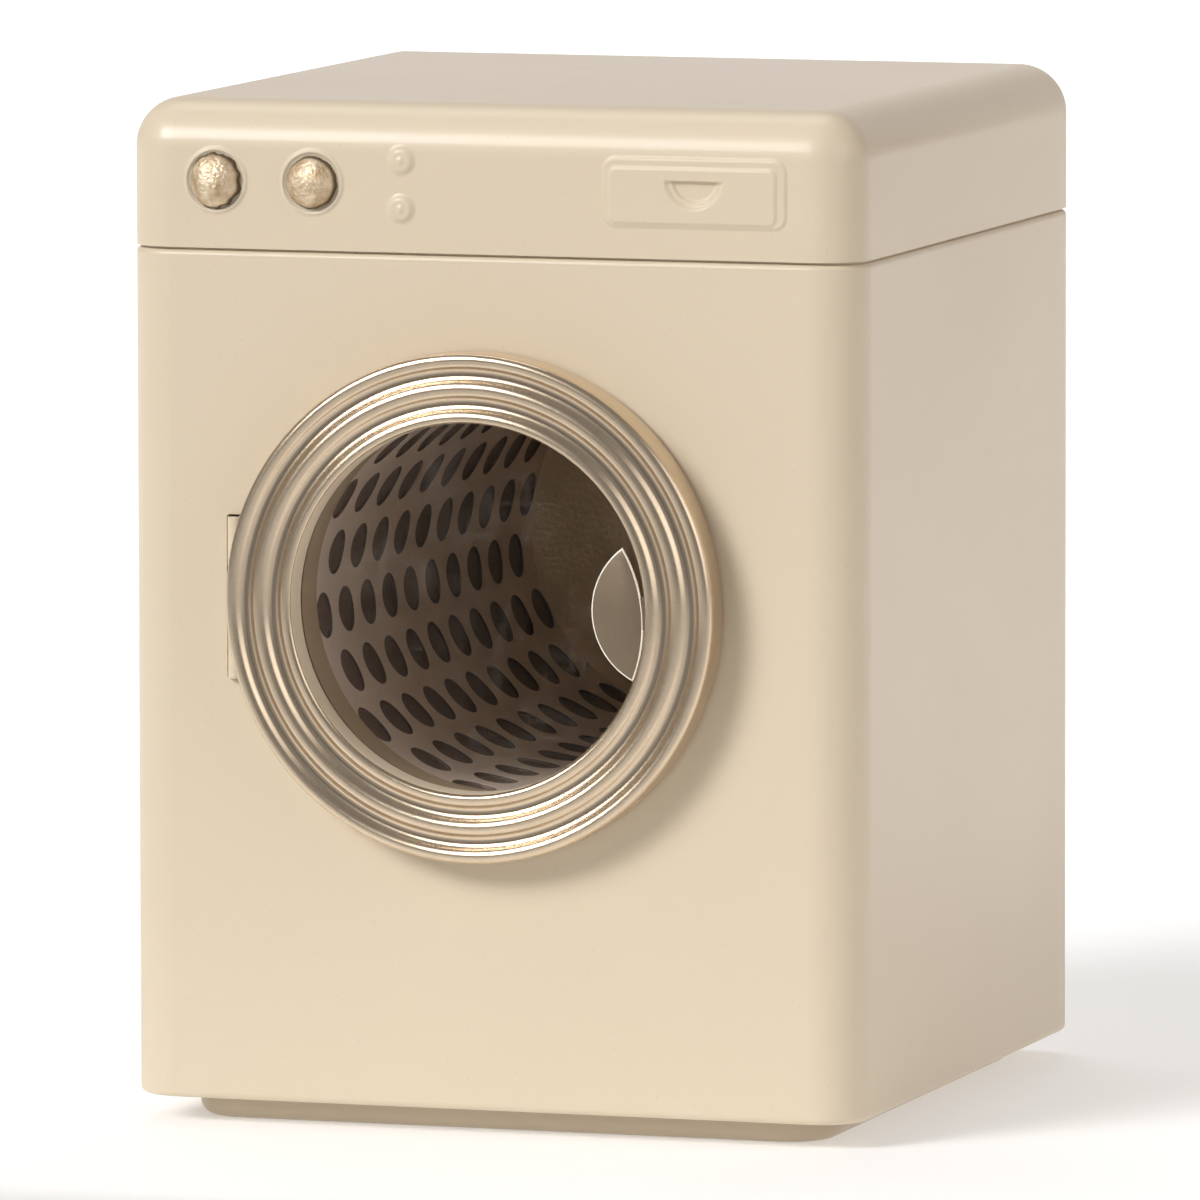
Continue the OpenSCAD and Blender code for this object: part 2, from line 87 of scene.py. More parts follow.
class NodeTree:
    """Adds and joins the nodes of one shader tree."""

    def __init__(self, tree: bpy.types.NodeTree) -> None:
        """Keeps the tree.

        Args:
            tree: The node tree to build in.
        """
        self.tree = tree

    def add(self, kind: str, inputs: dict | None = None, **settings: object) -> bpy.types.Node:
        """Adds a node.

        Args:
            kind: The node's type, without the ShaderNode prefix.
            inputs: Values, or sockets to link, by the input's name or number.
            settings: Properties of the node itself.

        Returns:
            The new node.
        """
        node = self.tree.nodes.new("ShaderNode" + kind)
        for name, value in settings.items():
            setattr(node, name, value)
        for key, value in (inputs or {}).items():
            if isinstance(value, bpy.types.NodeSocket):
                self.tree.links.new(value, node.inputs[key])
            else:
                node.inputs[key].default_value = value
        return node

    def maths(self, operation: str, a: object, b: object = 0.0) -> bpy.types.NodeSocket:
        """Returns the result of a Math node on two values or sockets."""
        return self.add("Math", {0: a, 1: b}, operation=operation).outputs[0]

    def blend(self, mask: object, low: object, high: object) -> bpy.types.NodeSocket:
        """Mixes two colours.

        Args:
            mask: Share of the second colour.
            low: First colour, a value or a socket.
            high: Second colour, a value or a socket.

        Returns:
            The mixed colour's socket.
        """
        node = self.add("Mix", {"Factor": mask}, data_type="RGBA")
        for index, value in ((6, low), (7, high)):
            if isinstance(value, bpy.types.NodeSocket):
                self.tree.links.new(value, node.inputs[index])
            else:
                node.inputs[index].default_value = (*value, 1.0)
        return node.outputs[2]

    def tint(self, base: object, over: object, mask: object, share: float) -> bpy.types.NodeSocket:
        """Returns the base colour with the one over it laid on by a share of the mask."""
        return self.blend(self.maths("MULTIPLY", mask, share), base, over)

    def plus(self, base: object, mask: object, share: float) -> bpy.types.NodeSocket:
        """Returns the base value with a share of the mask added to it."""
        return self.maths("ADD", base, self.maths("MULTIPLY", mask, share))

    def spread(self, value: object, low: float, high: float) -> bpy.types.NodeSocket:
        """Returns value, which runs from 0 to 1, stretched to run from low to high."""
        inputs = {"Value": value, "To Min": low, "To Max": high}
        return self.add("MapRange", inputs).outputs["Result"]


def shade(colour: Colour, factor: float) -> list[float]:
    """Returns a colour made darker or brighter by a factor, at most white."""
    return [min(1.0, factor * part) for part in colour]


class Effects:
    """The shader node groups that more than one finish uses, each built once."""

    def __init__(self) -> None:
        """Builds the groups."""
        self.mottle = self._mottle()
        self.speckle = self._speckle()
        self.scratches = self._scratches()
        self.ripple = self._ripple()

    @staticmethod
    def _group(name: str, inputs: dict[str, float], output: str) -> tuple[bpy.types.NodeTree, NodeTree]:
        """Starts a group with named float inputs and one float output.

        Args:
            name: The group's name.
            inputs: Default value of each input.
            output: Name of the output.

        Returns:
            The group's tree and the helper that fills it.
        """
        tree = bpy.data.node_groups.new(name, "ShaderNodeTree")
        for label, value in inputs.items():
            socket = tree.interface.new_socket(label, in_out="INPUT", socket_type="NodeSocketFloat")
            socket.default_value = value
        tree.interface.new_socket(output, in_out="OUTPUT", socket_type="NodeSocketFloat")
        return tree, NodeTree(tree)

    @staticmethod
    def _close(kit: NodeTree, value: bpy.types.NodeSocket) -> None:
        """Joins value to the group's one output."""
        out = kit.tree.nodes.new("NodeGroupOutput")
        kit.tree.links.new(value, out.inputs[0])

    def _mottle(self) -> bpy.types.NodeTree:
        """Builds the group for soft uneven patches.

        Returns:
            The group, whose mask runs from 0 to 1.
        """
        tree, kit = self._group("mottle", {"Scale": 100.0, "Contrast": 3.0}, "Mask")
        given = tree.nodes.new("NodeGroupInput")
        place = kit.add("TexCoord").outputs["Object"]
        cloud = kit.add("TexNoise", {"Vector": place, "Scale": given.outputs["Scale"], "Detail": 4.0})
        centred = kit.maths("SUBTRACT", cloud.outputs[0], 0.5)
        stretched = kit.maths("MULTIPLY", centred, given.outputs["Contrast"])
        self._close(kit, kit.add("Clamp", {"Value": kit.maths("ADD", stretched, 0.5)}).outputs[0])
        return tree

    def _speckle(self) -> bpy.types.NodeTree:
        """Builds the group for fine grains.

        Returns:
            The group, whose mask is 1 inside each grain.
        """
        edge_steepness = 8.0
        tree, kit = self._group("speckle", {"Scale": 3000.0, "Size": 0.3, "Share": 0.5}, "Mask")
        given = tree.nodes.new("NodeGroupInput")
        place = kit.add("TexCoord").outputs["Object"]
        cells = kit.add("TexVoronoi", {"Vector": place, "Scale": given.outputs["Scale"]})
        near = kit.maths("SUBTRACT", given.outputs["Size"], cells.outputs["Distance"])
        grain = kit.add("Clamp", {"Value": kit.maths("MULTIPLY", near, edge_steepness)}).outputs[0]
        chosen = kit.maths("LESS_THAN", self._red(kit, cells.outputs["Color"]), given.outputs["Share"])
        self._close(kit, kit.maths("MULTIPLY", grain, chosen))
        return tree

    @staticmethod
    def _red(kit: NodeTree, colour: bpy.types.NodeSocket) -> bpy.types.NodeSocket:
        """Returns the red channel of a colour."""
        return kit.add("SeparateColor", {"Color": colour}).outputs[0]

    def _scratches(self) -> bpy.types.NodeTree:
        """Builds the group for hairline scratches that run three ways, in patches.

        Returns:
            The group, whose mask runs from 0 to 1.
        """
        thinness = 40.0
        patch_scale, patch_from, patch_steepness = 180.0, 0.45, 6.0
        tree, kit = self._group("scratches", {"Scale": 900.0, "Amount": 0.5}, "Mask")
        given = tree.nodes.new("NodeGroupInput")
        place = kit.add("TexCoord").outputs["Object"]
        masks = []
        for turn, long in ((0.5, (1.0, 0.03, 0.03)), (-0.9, (0.03, 0.03, 1.0)), (2.2, (0.05, 1.0, 0.02))):
            inputs = {"Vector": place, "Rotation": (turn * 0.4, turn, turn * 0.7), "Scale": long}
            turned = kit.add("Mapping", inputs).outputs[0]
            fine = kit.add("TexNoise", {"Vector": turned, "Scale": given.outputs["Scale"], "Detail": 1.0})
            line = kit.maths("ABSOLUTE", kit.maths("SUBTRACT", fine.outputs[0], 0.5))
            edge = kit.maths("SUBTRACT", 1.0, kit.maths("MULTIPLY", line, thinness))
            masks.append(kit.add("Clamp", {"Value": edge}).outputs[0])
        patch = kit.add("TexNoise", {"Vector": place, "Scale": patch_scale, "Detail": 2.0}).outputs[0]
        above = kit.maths("SUBTRACT", patch, patch_from)
        some = kit.add("Clamp", {"Value": kit.maths("MULTIPLY", above, patch_steepness)}).outputs[0]
        most = kit.maths("MAXIMUM", kit.maths("MAXIMUM", masks[0], masks[1]), masks[2])
        shown = kit.maths("MULTIPLY", most, some)
        self._close(kit, kit.maths("MULTIPLY", shown, given.outputs["Amount"]))
        return tree

    def _ripple(self) -> bpy.types.NodeTree:
        """Builds the group for an uneven surface.

        Returns:
            The group, whose height joins slow waves and fine peel.
        """
        inputs = {"Wave scale": 40.0, "Wave": 1.0, "Peel scale": 900.0, "Peel": 0.2}
        tree, kit = self._group("ripple", inputs, "Height")
        given = tree.nodes.new("NodeGroupInput")
        place = kit.add("TexCoord").outputs["Object"]
        wave_in = {"Vector": place, "Scale": given.outputs["Wave scale"], "Detail": 1.0}
        peel_in = {"Vector": place, "Scale": given.outputs["Peel scale"], "Detail": 2.0}
        wave = kit.maths("MULTIPLY", kit.add("TexNoise", wave_in).outputs[0], given.outputs["Wave"])
        peel = kit.maths("MULTIPLY", kit.add("TexNoise", peel_in).outputs[0], given.outputs["Peel"])
        self._close(kit, kit.maths("ADD", wave, peel))
        return tree


class Finish:
    """Base of the finishes: starts a material, has it filled and closes it on one Principled shader."""

    name: str

    def fill(self, kit: NodeTree, effects: Effects) -> None:
        """Fills the material's tree.

        Args:
            kit: The tree.
            effects: The shared groups.
        """
        raise NotImplementedError

    def build(self, effects: Effects) -> bpy.types.Material:
        """Builds the material.

        Args:
            effects: The shared groups.

        Returns:
            The material.
        """
        material, kit = self.start(self.name)
        self.fill(kit, effects)
        return material

    @staticmethod
    def start(name: str) -> tuple[bpy.types.Material, NodeTree]:
        """Starts an empty material.

        Args:
            name: The material's name.

        Returns:
            The material and the helper that fills its tree.
        """
        material = bpy.data.materials.new(name)
        material.use_nodes = True
        material.node_tree.nodes.clear()
        return material, NodeTree(material.node_tree)

    @staticmethod
    def effect(kit: NodeTree, group: bpy.types.NodeTree, **values: float) -> bpy.types.NodeSocket:
        """Places one of the shared groups.

        Args:
            kit: The tree to place it in.
            group: The group.
            values: Its inputs, with underscores for spaces.

        Returns:
            The group's output.
        """
        node = kit.tree.nodes.new("ShaderNodeGroup")
        node.node_tree = group
        for name, value in values.items():
            node.inputs[name.replace("_", " ")].default_value = value
        return node.outputs[0]

    @staticmethod
    def close(kit: NodeTree, inputs: dict, height: bpy.types.NodeSocket, depth: float) -> None:
        """Ends the tree on a Principled shader with a bump.

        Args:
            kit: The tree.
            inputs: The shader's inputs.
            height: Height of the surface's relief, from 0 to 1.
            depth: Depth of that relief in metres.
        """
        bump = kit.add("Bump", {"Height": height, "Distance": depth, "Strength": 1.0})
        shader = kit.add("BsdfPrincipled", {**inputs, "Normal": bump.outputs[0]})
        kit.add("OutputMaterial", {"Surface": shader.outputs[0]})


@dataclass(frozen=True)
class Paint(Finish):
    """Satin stove enamel on tinplate."""

    name: str
    colour: Colour
    worn: Colour
    roughness: tuple[float, float] = (0.38, 0.48)
    coat: float = 0.25
    coat_roughness: float = 0.1
    wave_depth: float = 0.06 * MM

    def fill(self, kit: NodeTree, effects: Effects) -> None:
        """Fills the material's tree.

        Args:
            kit: The tree.
            effects: The shared groups.
        """
        patches = self.effect(kit, effects.mottle, Scale=26.0, Contrast=1.6)
        dust = self.effect(kit, effects.speckle, Scale=1500.0, Size=0.22, Share=0.05)
        marks = self.effect(kit, effects.scratches, Scale=260.0, Amount=0.35)
        tone = kit.tint(self.colour, self.worn, patches, share=0.55)
        dusty = kit.tint(tone, shade(self.worn, 0.55), dust, share=0.25)
        rough = kit.plus(kit.spread(patches, *self.roughness), marks, share=0.12)
        ripple = self.effect(kit, effects.ripple, Wave_scale=48.0, Wave=1.0, Peel_scale=1100.0, Peel=0.05)
        inputs = {"Base Color": dusty, "Roughness": rough, "Metallic": 0.0, "IOR": 1.47,
                  "Coat Weight": self.coat, "Coat Roughness": self.coat_roughness}
        self.close(kit, inputs, ripple, self.wave_depth)


@dataclass(frozen=True)
class Lacquer(Finish):
    """Gold lacquer over grained tin; its attributes mark a lighter matte inner wall, cut edges that get a
    painted highlight, and the grooves between the ribs, darkened as painted shade.
    """

    name: str
    colour: Colour
    deep: Colour
    lining: Colour = (0.93, 0.79, 0.60)
    # Near-white colour of the cut edges: cut metal lightened into a painted highlight.
    edge: Colour = (1.0, 0.95, 0.85)
    roughness: tuple[float, float] = (0.22, 0.27)
    coat: float = 0.35
    coat_roughness: float = 0.25
    grain_depth: float = 0.0003 * MM

    def fill(self, kit: NodeTree, effects: Effects) -> None:
        """Fills the material's tree.

        Args:
            kit: The tree.
            effects: The shared groups.
        """
        patches = self.effect(kit, effects.mottle, Scale=240.0, Contrast=2.2)
        grain = self.effect(kit, effects.mottle, Scale=3600.0, Contrast=3.0)
        specks = self.effect(kit, effects.speckle, Scale=5200.0, Size=0.4, Share=0.3)
        tone = kit.tint(self.colour, self.deep, patches, share=0.4)
        grained = kit.tint(tone, self.deep, grain, share=0.2)
        flecked = kit.tint(grained, shade(self.deep, 0.55), specks, share=0.22)
        lining, bare_edge_highlight, groove_shade = (kit.add("Attribute", attribute_name=name).outputs["Fac"]
                                for name in ("lining", "bare_edge_highlight", "groove_shade"))
        # Painted shade: the grooves between the ribs are darkened towards deep brown.
        shaded = kit.blend(groove_shade, flecked, shade(self.deep, 0.6))
        # The cut edges are cut metal with a painted highlight laid on.
        shown = kit.blend(bare_edge_highlight, kit.blend(lining, shaded, self.lining), self.edge)
        plain = kit.maths("MAXIMUM", lining, bare_edge_highlight)
        rough = kit.plus(kit.spread(grain, *self.roughness), lining, share=0.3)
        inputs = {"Base Color": shown, "Roughness": rough, "Metallic": kit.spread(plain, 0.96, 0.05),
                  "Coat Weight": self.coat, "Coat Roughness": self.coat_roughness, "Coat IOR": 1.5}
        self.close(kit, inputs, grain, self.grain_depth)


@dataclass(frozen=True)
class Foil(Finish):
    """Crinkled bright foil; the attribute rim marks the shadowed foot of a dome."""

    name: str
    colour: Colour
    deep: Colour
    roughness: tuple[float, float] = (0.36, 0.56)
    metallic: float = 0.9
    fold_depth: float = 0.08 * MM

    def fill(self, kit: NodeTree, effects: Effects) -> None:
        """Fills the material's tree.

        Args:
            kit: The tree.
            effects: The shared groups.
        """
        folds = self.effect(kit, effects.mottle, Scale=2200.0, Contrast=3.2)
        grime = self.effect(kit, effects.mottle, Scale=700.0, Contrast=2.6)
        lines = self.effect(kit, effects.scratches, Scale=2600.0, Amount=1.0)
        rim = kit.add("Attribute", attribute_name="rim").outputs["Fac"]
        tone = kit.blend(rim, kit.blend(grime, self.colour, self.deep), shade(self.deep, 0.3))
        rough = kit.spread(folds, *self.roughness)
        relief = kit.plus(folds, lines, share=-0.4)
        inputs = {"Base Color": tone, "Roughness": rough, "Metallic": self.metallic}
        self.close(kit, inputs, relief, self.fold_depth)


@dataclass(frozen=True)
class DrumTin(Finish):
    """Brown lacquered tin of the drum; beyond cut_r from the drum's axis it shows its cut edge."""

    name: str
    colour: Colour
    dark: Colour
    cut_edge: Colour = (0.20, 0.155, 0.13)
    cut_r: float = 1.0
    roughness: tuple[float, float] = (0.36, 0.52)
    metallic: float = 0.2
    grain_depth: float = 0.02 * MM

    def fill(self, kit: NodeTree, effects: Effects) -> None:
        """Fills the material's tree.

        Args:
            kit: The tree.
            effects: The shared groups.
        """
        patches = self.effect(kit, effects.mottle, Scale=90.0, Contrast=2.4)
        grain = self.effect(kit, effects.mottle, Scale=1500.0, Contrast=3.0)
        marks = self.effect(kit, effects.scratches, Scale=420.0, Amount=0.6)
        tone = kit.tint(self.colour, self.dark, patches, share=0.7)
        grained = kit.tint(tone, self.dark, grain, share=0.25)
        scored = kit.tint(grained, shade(self.colour, 1.3), marks, share=0.2)
        low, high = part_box("drum_liner")
        centre = Vector(low).lerp(Vector(high), 0.5)
        place = kit.add("TexCoord").outputs["Object"]
        away = kit.add("VectorMath", {0: place, 1: centre}, operation="SUBTRACT").outputs[0]
        flat = kit.add("VectorMath", {0: away, 1: (1.0, 0.0, 1.0)}, operation="MULTIPLY").outputs[0]
        from_axis = kit.add("VectorMath", {0: flat}, operation="LENGTH").outputs["Value"]
        shown = kit.blend(kit.maths("GREATER_THAN", from_axis, self.cut_r), scored, self.cut_edge)
        rough = kit.spread(grain, *self.roughness)
        inputs = {"Base Color": shown, "Roughness": rough, "Metallic": self.metallic}
        self.close(kit, inputs, grain, self.grain_depth)


@dataclass(frozen=True)
class Metal(Finish):
    """Plain metal of the small hardware."""

    name: str
    colour: Colour
    metallic: float = 1.0
    roughness: tuple[float, float] = (0.24, 0.4)
    mark_depth: float = 0.01 * MM

    def fill(self, kit: NodeTree, effects: Effects) -> None:
        """Fills the material's tree.

        Args:
            kit: The tree.
            effects: The shared groups.
        """
        patches = self.effect(kit, effects.mottle, Scale=500.0, Contrast=2.4)
        marks = self.effect(kit, effects.scratches, Scale=1800.0, Amount=0.8)
        tone = kit.blend(patches, self.colour, shade(self.colour, 0.72))
        scored = kit.tint(tone, shade(self.colour, 1.2), marks, share=0.4)
        rough = kit.spread(patches, *self.roughness)
        inputs = {"Base Color": scored, "Roughness": rough, "Metallic": self.metallic}
        self.close(kit, inputs, marks, self.mark_depth)


@dataclass(frozen=True)
class Clear(Finish):
    """Clear window sheet with a light haze and hairline scratches."""

    name: str
    haze: Colour
    veil: tuple[float, float] = (0.0, 0.005)
    line_share: float = 0.5
    dust_share: float = 0.35
    mark_alpha: float = 0.07
    roughness: tuple[float, float] = (0.08, 0.35)
    line_depth: float = 0.004 * MM

    def fill(self, kit: NodeTree, effects: Effects) -> None:
        """Fills the material's tree.

        Args:
            kit: The tree.
            effects: The shared groups.
        """
        cloud = self.effect(kit, effects.mottle, Scale=70.0, Contrast=2.4)
        lines = self.effect(kit, effects.scratches, Scale=1100.0, Amount=0.9)
        dust = self.effect(kit, effects.speckle, Scale=1400.0, Size=0.2, Share=0.12)
        marked = kit.maths("MAXIMUM", kit.maths("MULTIPLY", lines, self.line_share),
                           kit.maths("MULTIPLY", dust, self.dust_share))
        veil = kit.spread(cloud, *self.veil)
        alpha = kit.add("Clamp", {"Value": kit.plus(veil, marked, share=self.mark_alpha)})
        rough = kit.spread(lines, *self.roughness)
        inputs = {"Base Color": (*self.haze, 1.0), "Roughness": rough, "Metallic": 0.0, "IOR": 1.49,
                  "Alpha": alpha.outputs[0]}
        self.close(kit, inputs, lines, self.line_depth)


class Palette:
    """Every finish of the toy, built once."""

    def __init__(self) -> None:
        """Builds the shared groups and the materials."""
        effects = Effects()
        # Beyond the liner's inner face only the walls of its holes and its back show.
        low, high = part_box("drum_liner")
        liner, margin = 0.4 * MM, 0.05 * MM
        cut_r = (high[2] - low[2]) / 2 - liner + margin
        finishes = {
            Slot.PAINT: Paint("cream_enamel", (0.70, 0.595, 0.445), (0.66, 0.555, 0.415)),
            # The base is the cream paint made darker: painted shade.
            Slot.BASE: Paint("base_enamel_painted_shade", (0.57, 0.475, 0.35), (0.54, 0.445, 0.33)),
            Slot.GOLD: Lacquer("gold_lacquer_on_tin", (0.77, 0.63, 0.465), (0.62, 0.495, 0.36)),
            Slot.FOIL: Foil("crinkled_gold_foil", (0.90, 0.76, 0.57), (0.56, 0.41, 0.25)),
            Slot.STEEL: Metal("plain_hardware", (0.56, 0.55, 0.53)),
            Slot.FERRITE: Metal("dark_ferrite", (0.05, 0.05, 0.055), 0.1, (0.5, 0.7)),
            Slot.DRUM: DrumTin("drum_lacquer", (0.84, 0.72, 0.61), (0.74, 0.62, 0.525), cut_r=cut_r),
            Slot.SLEEVE: DrumTin("sleeve_lacquer", (0.22, 0.165, 0.135), (0.16, 0.12, 0.098)),
            Slot.WINDOW: Clear("window_sheet", (0.62, 0.56, 0.50)),
        }
        self.materials = {slot: finish.build(effects) for slot, finish in finishes.items()}
        # The flanged ring round the drum's mouth is cream paint made darker tan: painted shade.
        shaded_collar = Paint("collar_enamel_painted_shade", (0.46, 0.355, 0.24), (0.42, 0.325, 0.22))
        # The finger plate's lacquer is made darker than the ring's: a painted reflection of the dark
        # surroundings in front.
        plate = Lacquer("plate_lacquer_painted_shade", (0.30, 0.232, 0.16), (0.26, 0.20, 0.136),
                        roughness=(0.34, 0.44))
        back = DrumTin("drum_back_lacquer", (0.90, 0.745, 0.50), (0.80, 0.66, 0.44))
        special = {"porthole_collar": shaded_collar, "finger_plate": plate, "drum_back": back}
        self.special = {name: finish.build(effects) for name, finish in special.items()}

    def dress(self, piece: bpy.types.Object, slot: Slot) -> None:
        """Gives all of a new piece one finish.

        Args:
            piece: The mesh object.
            slot: The finish's slot.
        """
        piece.data.materials.clear()
        piece.data.materials.append(self.special.get(piece.name, self.materials[slot]))

    def dress_nodes(self) -> None:
        """Gives every CAD node the finish of its own material slot."""
        by_name = {slot.value: material for slot, material in self.materials.items()}
        for name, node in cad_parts.items():
            for entry in node.material_slots:
                entry.material = self.special.get(name, by_name[entry.material.name.split(".")[0]])


def arc(cx: float, cy: float, radius: float, first: float, last: float, steps: int = 8) -> Profile:
    """Points of an arc.

    Args:
        cx: Centre's first coordinate.
        cy: Centre's second coordinate.
        radius: Radius.
        first: First angle in degrees.
        last: Last angle in degrees.
        steps: Number of chords.

    Returns:
        The points, with both ends.
    """
    turns = [math.radians(first + (last - first) * i / steps) for i in range(steps + 1)]
    return [(cx + radius * math.cos(t), cy + radius * math.sin(t)) for t in turns]


def smooth_rise(distance: float, width: float) -> float:
    """Returns 1 inside an outline and 0 outside it, with a soft slope of the given width between."""
    share = min(1.0, max(0.0, 0.5 - distance / width))
    return share * share * (3.0 - 2.0 * share)


def rounded_distance(x: float, z: float, half_w: float, half_h: float, radius: float) -> float:
    """Measures how far a point is from a rounded rectangle centred on 0, 0.

    Args:
        x: The point's first coordinate.
        z: The point's second coordinate.
        half_w: Half of the rectangle's width.
        half_h: Half of its height.
        radius: Radius of its corners.

    Returns:
        The distance, below 0 inside the rectangle.
    """
    dx = abs(x) - half_w + radius
    dz = abs(z) - half_h + radius
    return math.hypot(max(dx, 0.0), max(dz, 0.0)) + min(max(dx, dz), 0.0) - radius


def make_piece(mesh: bmesh.types.BMesh, name: str, sharp: float = 40.0) -> bpy.types.Object:
    """Turns a bmesh into an object with smooth faces and sharp edges.

    Args:
        mesh: The bmesh, which is freed.
        name: The piece's name.
        sharp: Angle in degrees above which an edge stays sharp.

    Returns:
        The object, at the origin.
    """
    data = bpy.data.meshes.new(name)
    mesh.to_mesh(data)
    mesh.free()
    data.shade_smooth()
    data.set_sharp_from_angle(angle=math.radians(sharp))
    piece = bpy.data.objects.new(name, data)
    bpy.context.scene.collection.objects.link(piece)
    return piece


def combine(piece: bpy.types.Object, cutter: bmesh.types.BMesh, operation: str) -> None:
    """Cuts a solid out of a piece, or joins it on, for good.

    Args:
        piece: The piece to change.
        cutter: The solid, which is freed.
        operation: DIFFERENCE or UNION.
    """
    tool = make_piece(cutter, piece.name + "_tool")
    modifier = piece.modifiers.new("combine", "BOOLEAN")
    modifier.operation = operation
    modifier.solver = "EXACT"
    modifier.object = tool
    view = bpy.context.evaluated_depsgraph_get()
    old = piece.data
    piece.data = bpy.data.meshes.new_from_object(piece.evaluated_get(view))
    piece.data.name = old.name
    piece.modifiers.clear()
    bpy.data.objects.remove(tool)


def box_solid(low: Vector, high: Vector) -> bmesh.types.BMesh:
    """Makes a box.

    Args:
        low: Its lowest corner.
        high: Its highest corner.

    Returns:
        The closed solid.
    """
    solid = bmesh.new()
    size = high - low
    place = Matrix.Translation((low + high) / 2) @ Matrix.Diagonal((*size, 1.0))
    bmesh.ops.create_cube(solid, size=1.0, matrix=place)
    return solid


def turned(profile: Profile, centre: Vector, steps: int) -> bmesh.types.BMesh:
    """Spins a closed profile round an axis that runs out of the front.

    Args:
        profile: Points of radius and height in front of the centre.
        centre: Point on the axis at height 0.
        steps: Number of steps of the full turn.

    Returns:
        The closed solid.
    """
    solid = bmesh.new()
    points = [solid.verts.new(centre + Vector((r, -h, 0.0))) for r, h in profile]
    edges = [solid.edges.new((a, b)) for a, b in zip(points, points[1:] + points[:1])]
    bmesh.ops.spin(solid, geom=points + edges, cent=centre, axis=(0.0, 1.0, 0.0), angle=math.tau,
                   steps=steps, use_merge=True)
    bmesh.ops.remove_doubles(solid, verts=solid.verts, dist=MERGE)
    bmesh.ops.recalc_face_normals(solid, faces=solid.faces)
    return solid


@dataclass
class PressedLid:
    """Slip lid: one sheet with rolled top edges and the soft relief pressed into its front."""

    half_w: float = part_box("top_lid")[1][0]
    half_d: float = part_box("top_lid")[1][1]
    seam: float = 0.27 * MM
    low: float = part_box("top_lid")[0][2] + seam
    high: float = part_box("top_lid")[1][2]
    corner: float = 6 * MM
    sheet: float = 0.5 * MM
    corner_steps: int = 14
    knob_xs: tuple[float, float] = (-34.5 * MM, -22.2 * MM)
    knob_z: float = 115.3 * MM
    bead_r: float = 3.75 * MM
    bead_half: float = 0.42 * MM
    bead_proud: float = 0.24 * MM
    button_x: float = -10.85 * MM
    button_zs: tuple[float, float] = (118.15 * MM, 112.35 * MM)
    button_r: float = 1.5 * MM
    button_proud: float = 0.42 * MM
    nib_r: float = 0.4 * MM
    nib_proud: float = 0.16 * MM
    drawer_x: float = 26.25 * MM
    drawer_z: float = 115.05 * MM
    drawer_half_w: float = 11.45 * MM
    drawer_half_h: float = 4.15 * MM
    drawer_corner: float = 1.5 * MM
    panel_left: float = 0.2 * MM
    panel_down: float = 0.375 * MM
    panel_inset_w: float = 1.0 * MM
    panel_inset_h: float = 0.8 * MM
    panel_corner: float = 0.9 * MM
    step_proud: float = 0.22 * MM
    step_slope: float = 0.42 * MM
    pull_top: float = 116.4 * MM
    pull_half_w: float = 2.75 * MM
    pull_h: float = 2.4 * MM
    pull_depth: float = 0.38 * MM
    pull_slope: float = 0.3 * MM
    border: float = 0.75 * MM
    border_slope: float = 0.5 * MM
    relief_low: float = 110 * MM
    bead_margin: float = 0.7 * MM
    button_reach: float = 2.4 * MM
    drawer_margin: float = 0.6 * MM
    fine: float = 0.15 * MM
    coarse: float = 1.5 * MM

    def relief(self, x: float, z: float) -> float:
        """Gives the relief of the knobs' beads, the buttons and the drawer front.

        Args:
            x: The point's place across the front.
            z: Its height.

        Returns:
            How far the front stands proud of its plane there.
        """
        height = 0.0
        for knob_x in self.knob_xs:
            away = abs(math.hypot(x - knob_x, z - self.knob_z) - self.bead_r) / self.bead_half
            if away < 1.0:
                height += self.bead_proud * 0.5 * (1.0 + math.cos(math.pi * away))
        for button_z in self.button_zs:
            away = math.hypot(x - self.button_x, z - button_z)
            height += self.button_proud * smooth_rise(away - self.button_r, 0.6 * self.button_r)
            height += self.nib_proud * smooth_rise(away - self.nib_r, self.nib_r)
        return height + self.drawer_relief(x - self.drawer_x, z)

    def drawer_relief(self, x: float, z: float) -> float:
        """Gives the drawer front's share of the relief: two raised steps and the pressed pull.

        Args:
            x: The point's place across, from the drawer front's middle.
            z: Its height.

        Returns:
            How far the drawer front stands proud there.
        """
        up = z - self.drawer_z
        outer = rounded_distance(x, up, self.drawer_half_w, self.drawer_half_h, self.drawer_corner)
        if outer > self.step_slope:
            return 0.0
        panel_half_w = self.drawer_half_w - self.panel_inset_w
        panel_half_h = self.drawer_half_h - self.panel_inset_h
        inner = rounded_distance(x + self.panel_left, up + self.panel_down, panel_half_w, panel_half_h,
                                 self.panel_corner)
        steps = smooth_rise(outer, self.step_slope) + smooth_rise(inner, self.step_slope)
        height = self.step_proud * steps
        for grow, slope in ((0.0, self.pull_slope), (self.border, self.border_slope)):
            height -= self.pull_depth * smooth_rise(self.pull_distance(x, z, grow), slope)
        return height

    def pull_distance(self, x: float, z: float, grow: float) -> float:
        """Measures how far a point is from the half-moon pull.

        Args:
            x: The point's place across, from the drawer front's middle.
            z: Its height.
            grow: How much larger the pull's round part is made.

        Returns:
            The distance, below 0 inside the pull.
        """
        width, drop = self.pull_half_w, self.pull_h
        radius = (drop * drop + width * width) / (2.0 * drop)
        down = self.pull_top - z
        round_part = math.hypot(x, down - (drop - radius)) - radius - grow
        return max(round_part, -down)

    def lines(self, stops: Sequence[tuple[float, float, float]], first: float, last: float) -> list[float]:
        """Places the grid's lines along one direction.

        Args:
            stops: Low end, high end and spacing of each finer stretch, in order.
            first: First line.
            last: Last line.

        Returns:
            The places, close together in the finer stretches.
        """
        slack = 0.01
        places = [first]
        for low, high, step in [*stops, (last, last, self.coarse)]:
            for begin, end, pace in ((places[-1], low, self.coarse), (low, high, step)):
                count = max(0, math.ceil((end - begin) / pace - slack))
                places += [begin + (end - begin) * (i + 1) / count for i in range(count)]
        return places

